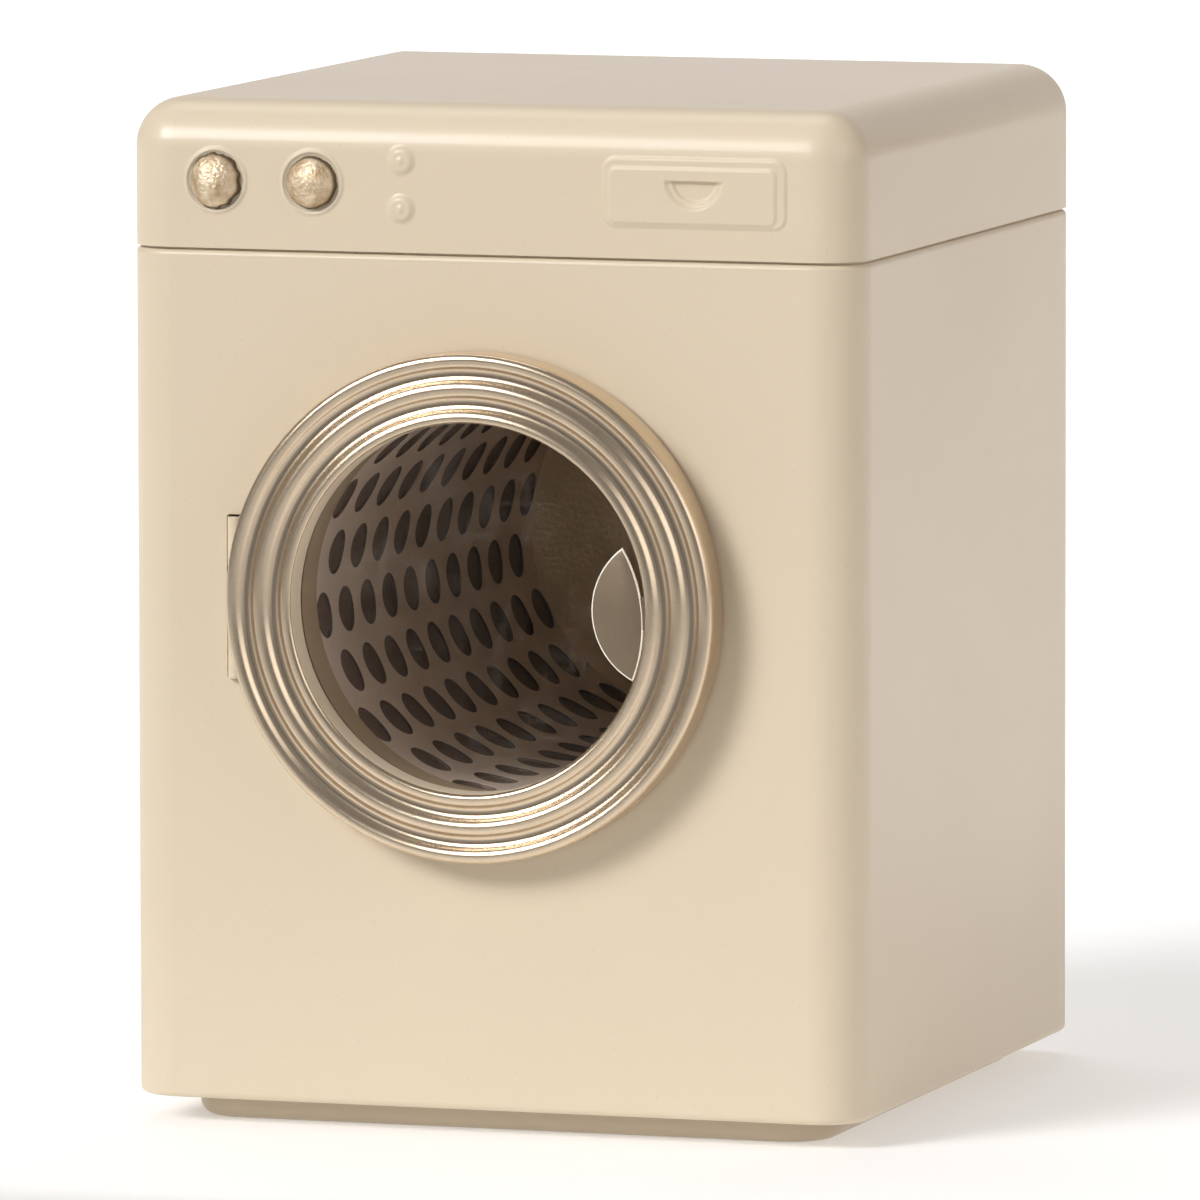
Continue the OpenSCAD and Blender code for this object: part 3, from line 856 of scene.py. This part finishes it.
    def front(self) -> bmesh.types.BMesh:
        """Makes the front's flat part.

        Returns:
            A grid, finer where the relief is, with the relief pressed into it.
        """
        bead_reach = self.bead_r + self.bead_margin
        drawer_reach = self.drawer_half_w + self.drawer_margin
        reaches = [(x, bead_reach) for x in self.knob_xs]
        reaches += [(self.button_x, self.button_reach), (self.drawer_x, drawer_reach)]
        stretches = [(x - reach, x + reach, self.fine) for x, reach in reaches]
        columns = self.lines(stretches, self.corner - self.half_w, self.half_w - self.corner)
        top = self.high - self.corner
        rows = self.lines([(self.relief_low, top, self.fine)], self.low, top)
        sheet = bmesh.new()
        bmesh.ops.create_grid(sheet, x_segments=len(columns) - 1, y_segments=len(rows) - 1, size=0.5)
        for vert in sheet.verts:
            x = columns[round((vert.co.x + 0.5) * (len(columns) - 1))]
            z = rows[round((vert.co.y + 0.5) * (len(rows) - 1))]
            vert.co = (x, -self.half_d - self.relief(x, z), z)
        return sheet

    def go_round(self, sheet: bmesh.types.BMesh) -> None:
        """Carries the front's right end round the three other walls, back to its left end.

        Args:
            sheet: The sheet with the front.
        """
        inner_w = self.half_w - self.corner
        inner_d = self.half_d - self.corner
        edge = [e for e in sheet.edges if all(abs(v.co.x - inner_w) < TOUCH for v in e.verts)]
        pivots = ((inner_w, -inner_d), (inner_w, inner_d), (-inner_w, inner_d), (-inner_w, -inner_d))
        runs = (Vector((0, 2 * inner_d, 0)), Vector((-2 * inner_w, 0, 0)), Vector((0, -2 * inner_d, 0)), None)
        for pivot, run in zip(pivots, runs):
            ends = list(dict.fromkeys(v for e in edge for v in e.verts))
            swung = bmesh.ops.spin(sheet, geom=ends + edge, cent=(*pivot, 0.0), axis=(0.0, 0.0, 1.0),
                                   angle=math.pi / 2, steps=self.corner_steps)
            edge = [g for g in swung["geom_last"] if isinstance(g, bmesh.types.BMEdge)]
            if run is not None:
                grown = bmesh.ops.extrude_edge_only(sheet, edges=edge)["geom"]
                moved = [g for g in grown if isinstance(g, bmesh.types.BMVert)]
                bmesh.ops.translate(sheet, verts=moved, vec=run)
                edge = self.far_edges(grown, moved)
        bmesh.ops.remove_doubles(sheet, verts=sheet.verts, dist=TOUCH)

    @staticmethod
    def far_edges(grown: list, moved: list[bmesh.types.BMVert]) -> list[bmesh.types.BMEdge]:
        """Returns the edges of an extrusion whose ends are both among the moved points."""
        far = set(moved)
        return [g for g in grown if isinstance(g, bmesh.types.BMEdge) and all(v in far for v in g.verts)]

    def roll_top(self, sheet: bmesh.types.BMesh) -> None:
        """Rolls the upper edges in to the flat top and fills it.

        Args:
            sheet: The sheet with all four walls.
        """
        inner = Vector((self.half_w - self.corner, self.half_d - self.corner))
        start = self.high - self.corner
        edge = [e for e in sheet.edges
                if e.is_boundary and all(abs(v.co.z - start) < TOUCH for v in e.verts)]
        fine_turns = [i * self.fine / self.corner for i in range(1, 9)]
        even_turns = [math.pi / 2 * i / self.corner_steps for i in range(2, self.corner_steps + 1)]
        for turn in fine_turns + even_turns:
            grown = bmesh.ops.extrude_edge_only(sheet, edges=edge)["geom"]
            moved = [g for g in grown if isinstance(g, bmesh.types.BMVert)]
            for vert in moved:
                centre = Vector((max(-inner.x, min(inner.x, vert.co.x)),
                                 max(-inner.y, min(inner.y, vert.co.y))))
                out = vert.co.xy - centre
                if out.length > 0.0:
                    out.normalize()
                faces_front = out.y < -0.999
                height = self.relief(vert.co.x, start + self.corner * turn) if faces_front else 0.0
                flat = centre + out * (self.corner + height) * math.cos(turn)
                vert.co = (flat.x, flat.y, start + (self.corner + height) * math.sin(turn))
            edge = self.far_edges(grown, moved)
        bmesh.ops.contextual_create(sheet, geom=edge)
        bmesh.ops.remove_doubles(sheet, verts=sheet.verts, dist=TOUCH)

    def build(self, palette: Palette) -> bpy.types.Object:
        """Builds and dresses the lid.

        Args:
            palette: The finishes.

        Returns:
            The lid.
        """
        sheet = self.front()
        self.go_round(sheet)
        self.roll_top(sheet)
        bmesh.ops.recalc_face_normals(sheet, faces=sheet.faces)
        bmesh.ops.solidify(sheet, geom=sheet.faces[:], thickness=self.sheet)
        piece = make_piece(sheet, "pressed_lid", 50.0)
        palette.dress(piece, Slot.PAINT)
        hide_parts("top_lid")
        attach(piece, Body.LID.value)
        return piece


@dataclass
class Knob:
    """Domed knob beaten from crinkled foil, with its shank.

    The seed picks the creases, ragged is how far the folds move the rim, and tall is the dome's
    height as a share of its width, both seen from the front.
    """

    node: str
    body: Body
    x: float
    seed: float
    ragged: float
    tall: float
    z: float = PressedLid.knob_z
    front_y: float = -47.05 * MM
    radius: float = 3.15 * MM
    height: float = 2.2 * MM
    shank_r: float = 0.9 * MM
    shank_l: float = 2.35 * MM
    overlap: float = 0.1 * MM
    crease: float = 0.06 * MM
    crease_room: float = 0.1 * MM
    ridge_scale: float = 2.6
    fine_scale: float = 8.5
    fold_scale: float = 3.4
    least_crease: float = 0.35
    rim_slope: float = 0.36
    rim_fade: float = 0.24

    def crinkle(self, out: Vector) -> float:
        """Gives the foil's creases, calmer towards the top, and the ragged folds of its rim.

        Args:
            out: Unit direction of the point from the dome's middle.

        Returns:
            How far the point is pushed outwards.
        """
        spot = out * self.ridge_scale + Vector((self.seed, 0.0, 0.0))
        ridges = 1.0 - abs(noise.noise(spot)) * 2.2
        fine = noise.fractal(out * self.fine_scale + Vector((0.0, self.seed, 0.0)), 0.6, 2.2, 4)
        creases = 0.55 * ridges + 0.5 * fine
        rim = 1.0 - max(0.0, -out.y)
        folds = noise.noise(Vector((out.x, 0.0, out.z)) * self.fold_scale + Vector((0.0, 0.0, self.seed)))
        calm = self.least_crease + (1.0 - self.least_crease) * smooth_rise(out.z - 0.1, 0.8)
        return self.crease * calm * creases + self.ragged * rim * rim * folds

    def build(self, palette: Palette) -> bpy.types.Object:
        """Builds and dresses the knob.

        Args:
            palette: The finishes.

        Returns:
            The knob.
        """
        dome = bmesh.new()
        bmesh.ops.create_icosphere(dome, subdivisions=6, radius=1.0)
        cut = bmesh.ops.bisect_plane(dome, geom=dome.verts[:] + dome.edges[:] + dome.faces[:], dist=1e-6,
                                     plane_co=(0, 0, 0), plane_no=(0, 1, 0), clear_outer=True)
        rim = [g for g in cut["geom_cut"] if isinstance(g, bmesh.types.BMEdge)]
        rim_layer = dome.verts.layers.float.new("rim")
        for vert in dome.verts:
            out = vert.co.normalized()
            vert[rim_layer] = smooth_rise(-out.y - self.rim_slope, self.rim_fade)
            push = self.crinkle(out)
            vert.co = Vector((out.x * (self.radius + push),
                              out.y * (self.height - self.crease_room + push),
                              out.z * (self.tall * self.radius + push)))
            vert.co.y = min(vert.co.y, 0.0)
        bmesh.ops.edgeloop_fill(dome, edges=rim)
        turn = Matrix.Rotation(math.pi / 2, 4, "X")
        middle = Matrix.Translation((0.0, self.shank_l / 2 - self.overlap, 0.0))
        bmesh.ops.create_cone(dome, cap_ends=True, segments=32, radius1=self.shank_r, radius2=self.shank_r,
                              depth=self.shank_l, matrix=middle @ turn)
        bmesh.ops.translate(dome, verts=dome.verts, vec=(self.x, self.front_y, self.z))
        bmesh.ops.recalc_face_normals(dome, faces=dome.faces)
        piece = make_piece(dome, self.node.replace("knob", "foil_knob"), 60.0)
        palette.dress(piece, Slot.FOIL)
        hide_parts(self.node)
        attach(piece, self.body.value)
        return piece


@dataclass
class Door:
    """Door: ribbed ring with the hinge's notch in its back, and the finger plate with its tab."""

    low: Vector = field(default_factory=lambda: Vector(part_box("door_ring")[0]))
    high: Vector = field(default_factory=lambda: Vector(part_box("door_ring")[1]))
    front_y: float = -47 * MM
    gap: float = 0.35 * MM
    sheet: float = 0.5 * MM
    rib_step: float = 1.745 * MM
    rib_slope: float = 50.0
    shoulder: float = 0.85 * MM
    lip_r: float = 22.4 * MM
    hem: float = 1.4 * MM
    hem_corner: float = 0.6 * MM
    inner_end: float = 1.85 * MM
    steps: int = 288
    rib_chords: int = 10
    wobble: float = 0.035 * MM
    wobble_length: float = 7 * MM
    wobble_from: float = 2.5 * MM
    lining_margin: float = 0.05 * MM
    groove_shade_from: float = 0.78 * MM
    groove_shade_fade: float = 0.05 * MM
    notch_half: float = 10.4 * MM
    notch_r: float = 28.2 * MM
    notch_depth: float = 1.6 * MM
    plate_tips: float = 16.2 * MM
    plate_outer: float = 18.1 * MM
    plate_inner: float = 9.45 * MM
    plate_x: float = 19.8 * MM
    plate_z: float = -0.2 * MM
    plate_tilt: float = 4.6
    plate_h: float = 3.4 * MM
    plate_t: float = 0.5 * MM
    plate_bevel: float = 0.2 * MM
    tab_half: float = 2.0 * MM
    tab_gap: float = 0.1 * MM
    tab_sunk: float = 0.04 * MM
    tab_reach: float = 1.2 * MM
    tab_bend: float = 0.42 * MM

    @property
    def centre(self) -> Vector:
        """Middle of the porthole on the front wall."""
        return Vector(((self.low.x + self.high.x) / 2, self.front_y, (self.low.z + self.high.z) / 2))

    @property
    def radius(self) -> float:
        """Outer radius of the ring."""
        return (self.high.z - self.low.z) / 2

    @property
    def proud(self) -> float:
        """Height of the ridges in front of the wall."""
        return self.front_y - self.low.y

    def ribs(self, depth: float) -> Profile:
        """Draws the ribbed front from the outer ridge to the inner one.

        Args:
            depth: How far behind the outer skin the line runs.

        Returns:
            Points of radius and height in front of the wall.
        """
        bend = self.rib_step / (2 * math.sin(math.radians(self.rib_slope)))
        drop = 2 * bend * (1 - math.cos(math.radians(self.rib_slope)))
        outer = self.radius - self.shoulder
        points: Profile = []
        for k in range(5):
            r = outer - k * self.rib_step
            if k % 2 == 0:
                first = 90.0 if k == 0 else 90.0 - self.rib_slope
                last = 90.0 if k == 4 else 90.0 + self.rib_slope
                points += arc(r, self.proud - bend, bend - depth, first, last, self.rib_chords)
            else:
                points += arc(r, self.proud - drop + bend, bend + depth,
                              -90.0 + self.rib_slope, -90.0 - self.rib_slope, self.rib_chords)
        return points

    def skin(self, depth: float) -> Profile:
        """Draws one skin of the ring from the side wall to the inner wall.

        Args:
            depth: 0 for the outer skin, the sheet's thickness for the inner one.

        Returns:
            Points of radius and height in front of the wall.
        """
        lip = self.radius - self.shoulder - 4 * self.rib_step - self.lip_r
        side = arc(self.radius - self.shoulder, self.proud - self.shoulder, self.shoulder - depth, 0.0, 90.0)
        end = arc(self.lip_r + lip, self.proud - lip, lip - depth, 90.0, 180.0)
        return side + self.ribs(depth) + end + [(self.lip_r + depth, self.inner_end)]

    def ring_profile(self) -> Profile:
        """Draws the closed section of the ring.

        Returns:
            Points of radius and height in front of the wall.
        """
        bottom = arc(self.radius - self.hem_corner, self.gap + self.hem_corner, self.hem_corner, -90.0, 0.0)
        wall = [(self.radius, self.gap + i * MM) for i in range(1, 5)]
        hem_in = self.radius - self.hem
        turn = arc(self.radius - self.hem_corner, self.gap + self.hem_corner,
                   self.hem_corner - self.sheet, -90.0, 0.0, 4)
        inside = [(hem_in, self.gap + self.sheet), *turn, *self.skin(self.sheet)]
        return [(hem_in, self.gap), *bottom, *wall, *self.skin(0.0), *reversed(inside)]

    def mark(self, ring: bmesh.types.BMesh) -> None:
        """Marks the inner wall as lining, and the grooves between the ribs for painted shade.

        Args:
            ring: The spun ring.
        """
        lining = ring.faces.layers.float.new("lining")
        for face in ring.faces:
            middle = face.calc_center_median() - self.centre
            inside = math.hypot(middle.x, middle.z) < self.lip_r + self.lining_margin
            steep = face.normal.y ** 2 < 0.5
            face[lining] = float(inside and steep)
        # Painted shade: this mask darkens the grooves towards their bottoms.
        groove_shade = ring.verts.layers.float.new("groove_shade")
        for vert in ring.verts:
            below = self.proud - (self.front_y - vert.co.y)
            away = math.hypot(vert.co.x - self.centre.x, vert.co.z - self.centre.z)
            ribbed = self.lip_r + self.rib_step / 2 < away < self.radius - self.shoulder
            deep = 1.0 - smooth_rise(below - self.groove_shade_from, self.groove_shade_fade)
            vert[groove_shade] = deep if ribbed else 0.0

    def waver(self, ring: bmesh.types.BMesh) -> None:
        """Makes the ribbed front slightly uneven, and leaves the side near the wall true.

        Args:
            ring: The spun ring.
        """
        for vert in ring.verts:
            spot = vert.co / self.wobble_length
            share = smooth_rise(self.wobble_from - (self.front_y - vert.co.y), MM)
            vert.co.y += self.wobble * noise.noise(spot) * share

    def build_ring(self, palette: Palette) -> bpy.types.Object:
        """Builds and dresses the ribbed ring.

        Args:
            palette: The finishes.

        Returns:
            The ring.
        """
        ring = turned(self.ring_profile(), self.centre, self.steps)
        self.mark(ring)
        self.waver(ring)
        piece = make_piece(ring, "ribbed_ring", 35.0)
        at = self.centre
        low = at + Vector((-self.radius - MM, -self.notch_depth, -self.notch_half))
        high = at + Vector((-self.notch_r, MM, self.notch_half))
        combine(piece, box_solid(low, high), "DIFFERENCE")
        palette.dress(piece, Slot.GOLD)
        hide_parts("door_ring")
        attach(piece, Body.DOOR.value)
        return piece

    def plate_outline(self) -> Profile:
        """Draws the finger plate: an almond of two arcs that meet in its tips.

        Returns:
            Points across and up from the plate's middle.
        """
        half = self.plate_tips / 2
        outer_x = -math.sqrt(self.plate_outer ** 2 - half ** 2)
        inner_x = math.sqrt(self.plate_inner ** 2 - half ** 2)
        right, left = (math.degrees(math.asin(half / r)) for r in (self.plate_outer, self.plate_inner))
        outer = arc(outer_x, 0.0, self.plate_outer, -right, right, 20)
        inner = arc(inner_x, 0.0, self.plate_inner, 180.0 - left, 180.0 + left, 24)
        return outer + inner[1:-1]

    def build_plate(self, palette: Palette) -> bpy.types.Object:
        """Builds and dresses the finger plate with its tab.

        Args:
            palette: The finishes.

        Returns:
            The plate.
        """
        plate = bmesh.new()
        middle = Vector((self.plate_x, -self.plate_h, self.plate_z))
        points = [plate.verts.new(Vector((x, 0.0, z))) for x, z in self.plate_outline()]
        face = plate.faces.new(points)
        grown = bmesh.ops.extrude_face_region(plate, geom=[face])["geom"]
        moved = [g for g in grown if isinstance(g, bmesh.types.BMVert)]
        bmesh.ops.translate(plate, verts=moved, vec=(0.0, -self.plate_t, 0.0))
        bmesh.ops.recalc_face_normals(plate, faces=plate.faces)
        rims = [e for e in plate.edges if len({round(v.co.y, 6) for v in e.verts}) == 1]
        # The bevelled edges are marked for a near-white colour: cut metal with a painted highlight.
        bare_edge_highlight = plate.faces.layers.float.new("bare_edge_highlight")
        bevelled = bmesh.ops.bevel(plate, geom=rims, offset=self.plate_bevel, affect="EDGES", segments=3,
                                   profile=0.5, material=-1)
        for face in bevelled["faces"]:
            face[bare_edge_highlight] = 1.0
        lean = Matrix.Rotation(-math.radians(self.plate_tilt), 4, "Y")
        bmesh.ops.transform(plate, matrix=Matrix.Translation(self.centre + middle) @ lean, verts=plate.verts)
        piece = make_piece(plate, "finger_plate", 35.0)
        combine(piece, self.tab(), "UNION")
        palette.dress(piece, Slot.GOLD)
        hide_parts("door_handle")
        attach(piece, Body.DOOR.value)
        return piece

    def tab(self) -> bmesh.types.BMesh:
        """Makes the tab that runs from the plate's edge back along the ring's inner wall.

        Returns:
            The closed solid.
        """
        low_h = self.inner_end + self.tab_gap
        high_h = self.plate_h + self.plate_t - self.tab_sunk
        inner = self.lip_r - self.sheet
        reach = self.lip_r - self.tab_reach
        bend = high_h - self.tab_bend
        profile = [(self.lip_r, low_h), (self.lip_r, high_h), (reach, high_h), (reach, bend), (inner, bend),
                   (inner, low_h)]
        half = math.asin(self.tab_half / self.lip_r)
        solid = bmesh.new()
        points = [solid.verts.new(self.centre + Vector((r, -h, 0.0))) for r, h in profile]
        face = solid.faces.new(points)
        bmesh.ops.rotate(solid, verts=solid.verts, cent=self.centre, matrix=Matrix.Rotation(-half, 3, "Y"))
        bmesh.ops.spin(solid, geom=[*face.verts, *face.edges, face], cent=self.centre, axis=(0, 1, 0),
                       angle=2 * half, steps=6)
        bmesh.ops.remove_doubles(solid, verts=solid.verts, dist=MERGE)
        bmesh.ops.recalc_face_normals(solid, faces=solid.faces)
        return solid

    def build(self, palette: Palette) -> list[bpy.types.Object]:
        """Builds the door's pieces.

        Args:
            palette: The finishes.

        Returns:
            The ring and the finger plate.
        """
        return [self.build_ring(palette), self.build_plate(palette)]


@dataclass
class Studio:
    """Camera at the photograph's angle, pale floor and soft lights."""

    camera_place: Vector = field(default_factory=lambda: Vector((0.54734, -1.66798, 0.24923)))
    yaw: float = 18.204
    pitch: float = 6.134
    roll: float = -0.107
    focal_px: float = 14287.0
    frame_px: float = 1200.0
    sensor: float = 36.0
    floor_half: float = 9.0
    table_front: float = 0.125
    table_glow: float = 0.34
    ambient: float = 0.2

    def camera(self) -> None:
        """Adds the scene's camera."""
        data = bpy.data.cameras.new("view")
        data.sensor_fit = "HORIZONTAL"
        data.sensor_width = self.sensor
        data.lens = self.focal_px / self.frame_px * self.sensor
        data.clip_end = 50.0
        camera = bpy.data.objects.new("view", data)
        bpy.context.scene.collection.objects.link(camera)
        aim = Matrix.Rotation(math.radians(self.yaw), 4, "Z") @ Matrix.Rotation(
            math.radians(90.0 - self.pitch), 4, "X") @ Matrix.Rotation(math.radians(self.roll), 4, "Z")
        camera.matrix_world = Matrix.Translation(self.camera_place) @ aim
        bpy.context.scene.camera = camera

    def floor(self) -> None:
        """Adds the floor, a wide pale sheet that glows faintly from just before the toy backwards."""
        sheet = bmesh.new()
        bmesh.ops.create_grid(sheet, x_segments=24, y_segments=24, size=self.floor_half)
        piece = make_piece(sheet, "floor")
        material, kit = Finish.start("pale_floor")
        place = kit.add("TexCoord").outputs["Object"]
        cloud = kit.add("TexNoise", {"Vector": place, "Scale": 3.0, "Detail": 2.0}).outputs[0]
        tone = kit.blend(cloud, (0.79, 0.79, 0.785), (0.81, 0.81, 0.805))
        back = kit.maths("ADD", kit.add("SeparateXYZ", {"Vector": place}).outputs["Y"], self.table_front)
        lit = kit.add("Clamp", {"Value": kit.maths("MULTIPLY", back, 40.0)}).outputs[0]
        inputs = {"Base Color": tone, "Roughness": 0.8, "Emission Color": (1.0, 0.99, 0.98, 1.0),
                  "Emission Strength": kit.maths("MULTIPLY", lit, self.table_glow)}
        shader = kit.add("BsdfPrincipled", inputs)
        kit.add("OutputMaterial", {"Surface": shader.outputs[0]})
        piece.data.materials.append(material)

    @staticmethod
    def light(name: str, place: Sequence[float], aim: Sequence[float], size: tuple[float, float],
              power: float, spread: float, colour: Colour) -> None:
        """Adds a soft rectangular light.

        Args:
            name: The light's name.
            place: Its middle.
            aim: Point that it faces.
            size: Its width and height.
            power: Its power in watts.
            spread: Full angle that its light keeps to, in degrees.
            colour: Its colour.
        """
        data = bpy.data.lights.new(name, "AREA")
        data.shape = "RECTANGLE"
        data.size, data.size_y = size
        data.energy = power
        data.spread = math.radians(spread)
        data.color = colour
        lamp = bpy.data.objects.new(name, data)
        lamp.location = place
        lamp.rotation_euler = (Vector(aim) - Vector(place)).to_track_quat("-Z", "Y").to_euler()
        bpy.context.scene.collection.objects.link(lamp)

    def lights(self) -> None:
        """Adds the key light at the front left, the two lights behind and above, and two weak fills."""
        toy = (0.0, 0.0, 0.05)
        self.light("key", place=(-0.8, -1.2, 1.2), aim=(0.05, 0.1, 0.35), size=(2.8, 1.1),
                   power=9.3, spread=36.0, colour=(1.0, 0.99, 0.98))
        self.light("overhead", place=(-1.1, 1.4, 2.3), aim=(-1.1, 1.4, 0.0), size=(2.4, 2.4),
                   power=15.0, spread=80.0, colour=(1.0, 1.0, 1.0))
        self.light("back_glow", place=(-1.0, 3.6, 0.9), aim=toy, size=(5.0, 1.9),
                   power=17.0, spread=180.0, colour=(1.0, 0.96, 1.0))
        self.light("fill", place=(1.9, -0.7, 0.9), aim=(0.05, 0.05, 0.15), size=(2.0, 1.8),
                   power=2.6, spread=70.0, colour=(1.0, 0.96, 0.94))
        self.light("side", place=(1.5, 0.5, 0.7), aim=toy, size=(1.0, 1.0),
                   power=1.0, spread=120.0, colour=(1.0, 0.83, 0.78))

    def surroundings(self) -> None:
        """Adds the even light from all round."""
        world = bpy.data.worlds.new("surroundings")
        world.use_nodes = True
        background = world.node_tree.nodes["Background"]
        background.inputs["Color"].default_value = (1.0, 0.98, 0.96, 1.0)
        background.inputs["Strength"].default_value = self.ambient
        bpy.context.scene.world = world

    def build(self) -> None:
        """Builds the camera, the floor and the lights, and keeps the colours plain."""
        self.camera()
        self.floor()
        self.lights()
        self.surroundings()
        bpy.context.scene.view_settings.view_transform = "Standard"


def report(pieces: Iterable[bpy.types.Object]) -> None:
    """Logs each piece with its number of faces."""
    for piece in pieces:
        log.info("%s: %d faces", piece.name, len(piece.data.polygons))


def main() -> None:
    """Builds the studio, the finishes and every sub-assembly."""
    logging.basicConfig(level=logging.INFO)
    Studio().build()
    palette = Palette()
    palette.dress_nodes()
    report([PressedLid().build(palette)])
    left, right = PressedLid.knob_xs
    report([
        Knob("knob_left", Body.LEFT_KNOB, left, seed=3.7, ragged=0.4 * MM, tall=1.07).build(palette),
        Knob("knob_right", Body.RIGHT_KNOB, right, seed=9.1, ragged=0.12 * MM, tall=1.0).build(palette),
    ])
    report(Door().build(palette))


if __name__ == "__main__":
    main()
